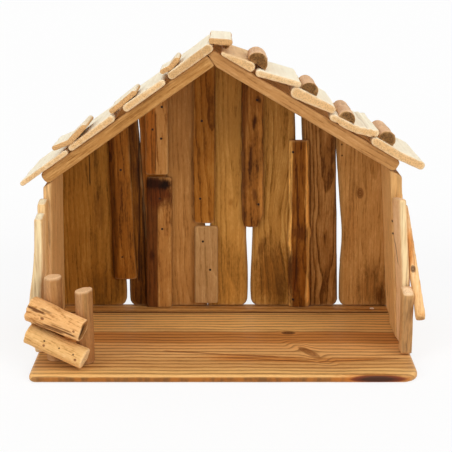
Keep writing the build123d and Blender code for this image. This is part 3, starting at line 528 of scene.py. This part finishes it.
backSlats = {
    "back_slat_1": {
        "seed": 41, "dark": (70, 34, 2), "mid": (142, 84, 22), "light": (168, 110, 42), "dome": 2.8,
        "swell": 0.9, "swellSize": 22.0,
        # the first band is painted shade on the slat's rounded left side
        "bands": ((-1.2, -0.45, 0.12, (86, 44, 4), 0.8),), "knots": ((195, -133, 7, 3.0, 0, (50, 20, 4), 0.9),),
        "stains": ((205, -132, 14, 5, 0, (80, 40, 6), 0.8), (150, -124, 30, 5, 0, (110, 60, 12), 0.5)),
        "bites": ((-1, 130, 30, 0.8), (1, 90, 26, 0.8)),
    },
    "back_slat_2_upper": {
        "seed": 42, "dark": (138, 78, 22), "mid": (194, 136, 72), "light": (214, 160, 96), "dome": 1.2,
        "bands": ((-1.2, -0.1, 0.06, (152, 86, 24), 0.9),),
        "lines": ((-80, 0.01, 175, 250, 1.0, (96, 48, 8), 0.7),),
    },
    "back_slat_2_lower": {
        "seed": 43, "dark": (110, 58, 14), "mid": (172, 116, 56), "light": (196, 144, 82), "dome": 1.2,
        "wear": 0.1, "bands": ((-1.2, -0.1, 0.08, (84, 40, 6), 0.92),), "bites": ((1, 118, 5, 1.6),),
        "stains": (
            (150, -76, 20, 26, 0, (86, 40, 8), 0.97), (164, -80, 8, 26, 0, (44, 16, 2), 0.95),
            (162, -69, 7, 6, 0, (20, 6, 0), 0.85), (76, -86, 10, 4, 0, (50, 20, 2), 0.9),
        ),
    },
    "back_slat_3_upper": {
        "seed": 44, "dark": (104, 56, 6), "mid": (154, 94, 28), "light": (174, 116, 46), "dome": 1.6,
        "ringDepth": 0.5, "ringGap": 5.0, "bites": ((-1, 128, 14, 1.4), (1, 128, 14, 1.0)), "endBite": 1.6,
    },
    "back_slat_3_lower": {
        "seed": 45, "dark": (136, 96, 50), "mid": (171, 127, 77), "light": (191, 148, 95), "dome": 0.8,
        "streakDepth": 0.2, "endBite": 1.2,
    },
    "back_slat_4": {
        "seed": 46, "dark": (78, 40, 6), "mid": (146, 90, 32), "light": (178, 120, 56), "dome": 2.4,
        "mottleDepth": 1.2, "swell": 1.2, "swellSize": 14.0,
        "endBite": 5.0, "endWave": 5.0, "bites": ((1, 111, 10, 7.0), (-1, 112, 5, 2.0)), "edgeBite": 1.4,
        "edgeWave": 14.0,
        "bands": ((-1.2, -0.5, 0.2, (92, 46, 8), 0.75), (0.6, 1.2, 0.15, (176, 118, 54), 0.5)),
        "stains": (
            (236, 35, 12, 3, 8, (62, 26, 4), 0.85), (262, 40, 6, 3, -20, (62, 26, 4), 0.8),
            (196, 31, 22, 3, 4, (74, 34, 6), 0.7), (150, 36, 10, 4, -10, (80, 40, 8), 0.7),
        ),
    },
    "back_slat_5": {
        "seed": 47, "dark": (78, 36, 2), "mid": (130, 74, 16), "light": (152, 96, 34), "dome": 3.0,
        "edgeBite": 0.9, "edgeWave": 26.0, "ringDepth": 0.4,
        "bands": ((-1.2, -0.66, 0.08, (222, 160, 82), 0.95), (0.6, 1.2, 0.1, (214, 152, 76), 0.9)),
        "stains": (
            (48, 82, 46, 13, 0, (84, 40, 2), 0.95), (40, 94, 40, 5, 0, (110, 60, 10), 0.8),
            (104, 88, 12, 12, 0, (70, 30, 2), 0.7),
        ),
        "lines": (
            (97.5, 0.03, 20, 112, 1.6, (196, 140, 70), 0.9), (88, -0.05, 108, 190, 1.3, (66, 28, 2), 0.7),
            (84, 0.03, 30, 100, 1.2, (60, 24, 2), 0.6),
        ),
        "bites": ((1, 104, 7, -2.0), (-1, 98, 10, -1.6), (-1, 128, 12, 1.4), (1, 150, 24, 0.9)),
    },
}
for node, own in backSlats.items():
    carve(node, up, toRight, {"voxel": 1.3, "rim": 0.35, **own})
print("slats done")

sideWalls = {
    "left_wall_1": {"seed": 61, "dark": (176, 126, 70), "mid": (212, 163, 102), "light": (228, 184, 124)},
    "left_wall_2": {
        "seed": 62, "dark": (172, 120, 66), "mid": (210, 159, 98), "light": (230, 184, 126), "flank": 0.7,
        "flankTone": (232, 186, 130),
    },
    "left_wall_3": {
        "seed": 63, "dark": (180, 130, 74), "mid": (222, 172, 110), "light": (240, 198, 142), "flank": 0.7,
        "flankTone": (242, 204, 152), "topHighlight": 0.5, "endTone": (252, 230, 196), "speckle": 0.2,
    },
    "left_wall_4": {
        "seed": 64, "dark": (186, 138, 82), "mid": (230, 184, 126), "light": (246, 212, 164), "flank": 0.8,
        "flankTone": (252, 224, 180), "topHighlight": 0.5,
        "endTone": (252, 232, 200), "speckle": 0.2, "belly": (62, 36, -7.5),
    },
    "right_wall_1": {"seed": 65, "dark": (178, 126, 68), "mid": (220, 170, 106), "light": (236, 190, 128)},
    "right_wall_2": {
        "seed": 66, "dark": (176, 124, 66), "mid": (216, 165, 101), "light": (232, 186, 126), "flank": 0.5,
        "flankTone": (202, 152, 96),
        "stains": ((144, -4, 1.6, 3.4, 0, nailMark, 1.0), (130.3, -4, 1.6, 3.4, 0, nailMark, 1.0)),
    },
    "right_wall_3": {
        "seed": 67, "dark": (200, 146, 92), "mid": (236, 190, 138), "light": (248, 212, 166), "flank": 0.85,
        "flankTone": (249, 215, 167), "topHighlight": 0.4,
        "skew": 4.0, "bow": 1.5, "belly": (86, 28, 1.9), "endTone": (240, 202, 160), "speckle": 0.3,
        "lines": ((-22, 0.42, 98, 126, 1.8, crackTone, 0.85), (-10, 0.3, 118, 142, 1.4, crackTone, 0.8)),
    },
    "right_wall_4": {
        "seed": 68, "dark": (136, 92, 46), "mid": (204, 154, 98), "light": (224, 178, 122), "topHighlight": 0.8,
        "topHighlightTone": (240, 204, 160),
        "flank": 0.85, "flankTone": (166, 122, 76), "flankScale": (0.05, 0.2, 0.35), "endTone": (240, 204, 162),
        "speckle": 0.35,
        "edgeBite": 1.2, "edgeWave": 20.0, "endBite": 2.4, "endWave": 6.0, "swell": 1.0, "swellSize": 16.0,
        "furrow": 0.9, "furrowLength": 30.0, "mottleDepth": 1.0,
    },
}
for node, own in sideWalls.items():
    carve(node, up, toBack, own)
rightBrace = {
    "voxel": 1.3, "seed": 71, "dark": (200, 136, 72), "mid": (236, 184, 122), "light": (250, 216, 168),
    "topHighlight": 0.3, "bites": ((-1, -50, 17, -2.0), (-1, -14, 18, -2.6)),
    "stains": ((-86, 201, 26, 3.5, 0, (220, 140, 64), 0.75),),
    "knots": ((-60, 202.5, 4.5, 2.6, 0, (66, 30, 8), 0.95),), "edgeBite": 0.6,
}
carve("right_brace", braceAlong, toRight, rightBrace)
print("walls done")

rafters = {
    "left": {"seed": 81, "dark": (126, 78, 28), "mid": (174, 122, 64), "light": (202, 152, 92)},
    "right": {"seed": 82, "dark": (136, 88, 42), "mid": (180, 128, 74), "light": (198, 148, 94)},
}
for end in ("front", "rear"):
    carve(end + "_rafter_left", leftDown, toBack, {"voxel": 1.5, **rafters["left"]})
    carve(end + "_rafter_right", rightDown, toBack, {"voxel": 1.5, **rafters["right"]})

roofBoard = {
    "voxel": 1.3, "round": 0, "dark": (174, 126, 76), "mid": (214, 170, 116), "light": (236, 200, 150),
    "wear": 0.45, "wearAndHighlightTone": (250, 228, 188),
    # the pale tone on the upward faces here is a painted highlight of the light from above
    "topHighlight": 0.95, "topHighlightTone": (252, 241, 214), "endTone": (218, 174, 120), "speckle": 0.42,
    "edgeBite": 1.0, "edgeWave": 12.0, "endBite": 1.4, "endWave": 4.5, "swell": 0.8, "swellSize": 22.0,
}
oldBoards = {
    "roof_board_left_4": {"endTone": (201, 159, 108)},
    "roof_board_right_1": {"topHighlight": 0.6, "topHighlightTone": (240, 200, 148)},
    "roof_board_right_4": {
        "furrow": 1.8, "furrowWidth": 5.0, "furrowLength": 70.0, "pit": 0.35, "pitTone": (150, 100, 52),
        "flutes": ((-2.0, 3.0, 2.0), (5.0, 2.2, 1.7), (11.5, 2.0, 1.2), (17.0, 3.0, -0.8)),
    },
}
for n in range(1, 5):
    node = "roof_board_left_%d" % n
    carve(node, toBack, leftDown, {**roofBoard, "seed": 90 + n, **oldBoards.get(node, {})})
for n in range(1, 6):
    node = "roof_board_right_%d" % n
    carve(node, toBack, rightDown, {**roofBoard, "seed": 100 + n, **oldBoards.get(node, {})})
splitBranch = {
    "voxel": 1.0, "round": 0, "dark": (140, 94, 56), "mid": (214, 166, 120), "light": (240, 202, 162),
    "mottleDepth": 0.9,
    "furrow": 0.9, "furrowWidth": 2.6, "furrowLength": 16.0, "swell": 1.3, "swellSize": 9.0, "pit": 0.6,
    "pitTone": (96, 58, 30),
    "topHighlight": 0.5, "topHighlightTone": (234, 192, 150), "endTone": (116, 78, 36), "speckle": 0.85, "endBite": 1.6,
    "endWave": 3.0, "ends": 0.95,
}
slippedBranch = {3: {"lean": (3.0, 6.0)}}
for n in range(1, 5):
    own = {**splitBranch, "seed": 110 + n, **slippedBranch.get(n, {})}
    carve("roof_cover_right_%d" % n, toBack, rightDown, own)
roofStrip = {
    "voxel": 1.1, "round": 0, "dark": (158, 110, 62), "mid": (204, 156, 102), "light": (228, 188, 136),
    "topHighlight": 0.95, "topHighlightTone": (252, 241, 214), "endTone": (206, 158, 104), "speckle": 0.45, "edgeBite": 0.8,
    "edgeWave": 9.0, "endBite": 1.2, "endWave": 3.5, "swell": 0.7, "swellSize": 12.0,
}
slippedStrip = {1: {"lean": (5.5, 5.5), "droop": (-8.0, 24.0, -4.0)}}
for n in range(1, 4):
    own = {**roofStrip, "seed": 120 + n, **slippedStrip.get(n, {})}
    carve("roof_cover_left_%d" % n, toBack, leftDown, own)
carve("ridge_cap", toBack, toRight, {**roofStrip, "seed": 131, "bites": ((-1, 40, 90, 2.6),)})
carve("ridge_stick", toBack, toRight, {**splitBranch, "seed": 132})
print("roof done")

fencePost = {
    "voxel": 1.2, "dark": (138, 90, 48), "mid": (173, 123, 72), "light": (199, 151, 99), "streakDepth": 0.12,
    "ringDepth": 0.05, "fibreDepth": 0.35, "mottleDepth": 0.3,
    "furrow": 0.05, "ends": 0.7, "endTone": (232, 190, 144), "speckle": 0.2, "bump": 0.25, "wear": 0.4,
    "wearAndHighlightTone": (236, 194, 148),
}
# painted light on the left side of each post and painted shade on the right side
postLitAndShadedSides = ((-1.2, -0.1, 0.1, (188, 142, 97), 0.55), (0.55, 1.2, 0.1, (138, 92, 52), 0.5))
carve("fence_post_left", up, toRight, {**fencePost, "seed": 141, "bands": postLitAndShadedSides})
rightPost = {
    **fencePost, "seed": 142, "bands": (*postLitAndShadedSides, (0.1, 0.42, 0.06, (146, 108, 62), 0.55)),
    # painted shadow over the lower part of the post
    "stains": ((26, -144, 34, 16, 0, (160, 108, 62), 0.6),),
}
carve("fence_post_right", up, toRight, rightPost)
fenceRail = {
    "voxel": 1.0, "round": 0, "furrow": 1.4, "furrowWidth": 6.5, "furrowLength": 46.0, "swell": 1.2,
    "swellSize": 11.0, "ringDepth": 0.1,
    "pit": 0.7, "pitTone": (104, 58, 20), "wear": 0.5, "wearAndHighlightTone": (250, 208, 150), "endBite": 1.2,
    "endWave": 4.0, "gritDepth": 0.6, "fibreDepth": 0.4,
}
barkTone = (90, 46, 13)
upperRail = {
    **fenceRail, "seed": 151, "dark": (168, 108, 50), "mid": (226, 170, 108), "light": (246, 202, 146),
    "hollow": (1, -2.0, 0.5, 8.5, 5.0), "endTone": (150, 96, 44),
    "lines": (
        (18.0, -0.03, -192, -166, 1.5, barkTone, 0.9), (16.0, 0.02, -186, -172, 1.0, barkTone, 0.8),
        (20.0, 0.0, -178, -160, 1.2, barkTone, 0.6), (7.0, 0.0, -170, -129, 1.7, barkTone, 0.85),
        (4.0, 0.02, -180, -142, 1.8, barkTone, 0.8), (10.5, -0.03, -162, -134, 1.2, (120, 66, 22), 0.7),
        (0.5, 0.0, -188, -150, 1.6, barkTone, 0.75),
    ),
}
carve("fence_rail_upper", upperRailAlong, up, upperRail)
lowerRail = {
    **fenceRail, "seed": 152, "furrow": 0.9, "swell": 0.8, "wormHoles": 0.9, "dark": (172, 120, 60),
    "mid": (224, 174, 110), "light": (244, 204, 148), "endTone": (244, 210, 160), "speckle": 0.4,
}
carve("fence_rail_lower", lowerRailAlong, up, lowerRail)
print("fence done")

smallParts = {  # dark and light tone, metal, roughness
    "brad_steel_dull": ((30, 18, 10), (62, 40, 24), 0.7, 0.35),
    "brad_steel_rusty": ((120, 74, 36), (178, 122, 68), 0.2, 0.6),
    "plug_wood_pale": ((246, 222, 190), (255, 244, 228), 0.0, 0.45),
}
rustyBrads = ("fence_brads", "roof_brads")


def smallMaterial(name):
    dark, light, metal, rough = smallParts[name]
    material, shader, start = newMaterial(name)
    place = start.make("ShaderNodeTexCoord", {}, {}, "Object")
    cloud = place.cloud((700.0, 700.0, 700.0), (0.0, 0.0, 0.0), 3.0)
    cloud.step(0.3, 0.7).blend(paint(dark), paint(light)).feed(shader, "Base Color")
    (cloud * 0.3 + rough).feed(shader, "Roughness")
    shader.inputs["Metallic"].default_value = metal
    return material


steel, rust, plug = (smallMaterial(name) for name in smallParts)
for node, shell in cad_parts.items():
    if node.endswith("_brads") or node == "sill_plug":
        finish = plug if node == "sill_plug" else rust if node in rustyBrads else steel
        for slot in shell.material_slots:
            slot.material = finish
print("small parts done")

studio = {
    "ambient": 0.42, "floorTone": 0.93, "floorLift": 0.8, "floorReach": 40,
    "suns": {  # place in m, strength, spread in degrees
        "left": ((-1.2, -1.15, 0.75), 1.2, 34),
        "right": ((1.2, -1.15, 0.75), 1.2, 34),
        "top": ((0.15, -0.3, 2.0), 0.85, 50),
    },
    "lens": 87.07, "sensor": 36.0, "eye": (0.0022, -1.1518, 0.4391), "lookDown": 14.66,
}
white = (1, 1, 1, 1)


def seenDirectly(start):  # 1 for rays from the camera, or off a mirror or through glass
    light = start.make("ShaderNodeLightPath", {}, {}, "Is Camera Ray")
    seen = light.math("MAXIMUM", light, light.out("Is Glossy Ray"))
    return seen.math("MAXIMUM", seen, light.out("Is Transmission Ray"))


reach = studio["floorReach"]
floorMesh = bpy.data.meshes.new("floor")
corners = [(-reach, -reach, 0), (reach, -reach, 0), (reach, reach, 0), (-reach, reach, 0)]
floorMesh.from_pydata(corners, [], [(0, 1, 2, 3)])
floor = bpy.data.objects.new("floor", floorMesh)
scene.collection.objects.link(floor)
floorMaterial, floorShader, floorStart = newMaterial("floor")
floorShader.inputs["Base Color"].default_value = (studio["floorTone"],) * 3 + (1,)
floorShader.inputs["Roughness"].default_value = 1.0
floorShader.inputs["Specular IOR Level"].default_value = 0.0
glow = floorStart.make("ShaderNodeEmission", {}, {"Color": white, "Strength": 1.0})
lift = seenDirectly(floorStart) * studio["floorLift"]  # white to the eye, and still takes the shadow
lifted = {0: lift, 1: Flow(floorStart.tree, floorShader), 2: glow}
floorEnd = floorStart.tree.nodes["Material Output"]
floorStart.make("ShaderNodeMixShader", {}, lifted).feed(floorEnd, "Surface")
floorMesh.materials.append(floorMaterial)

world = bpy.data.worlds.new("studio")
scene.world = world
world.use_nodes = True
worldStart = Flow(world.node_tree)
around = world.node_tree.nodes["Background"]
around.inputs["Color"].default_value = white
around.inputs["Strength"].default_value = studio["ambient"]
backdrop = worldStart.make("ShaderNodeBackground", {}, {"Color": white, "Strength": 1.0})
shown = {0: seenDirectly(worldStart), 1: Flow(world.node_tree, around), 2: backdrop}
worldStart.make("ShaderNodeMixShader", {}, shown).feed(world.node_tree.nodes["World Output"], "Surface")

for name, (place, strength, spread) in studio["suns"].items():
    lamp = bpy.data.lights.new(name, "SUN")
    lamp.energy, lamp.angle = strength, math.radians(spread)
    holder = bpy.data.objects.new(name, lamp)
    holder.location = place
    holder.rotation_euler = (-Vector(place)).to_track_quat("-Z", "Y").to_euler()
    scene.collection.objects.link(holder)

eye = bpy.data.cameras.new("eye")
eye.lens, eye.sensor_width = studio["lens"], studio["sensor"]
camera = bpy.data.objects.new("eye", eye)
camera.location = studio["eye"]
camera.rotation_euler = (math.radians(90 - studio["lookDown"]), 0, 0)
scene.collection.objects.link(camera)
scene.camera = camera
scene.view_settings.view_transform = "Standard"
print("studio done")
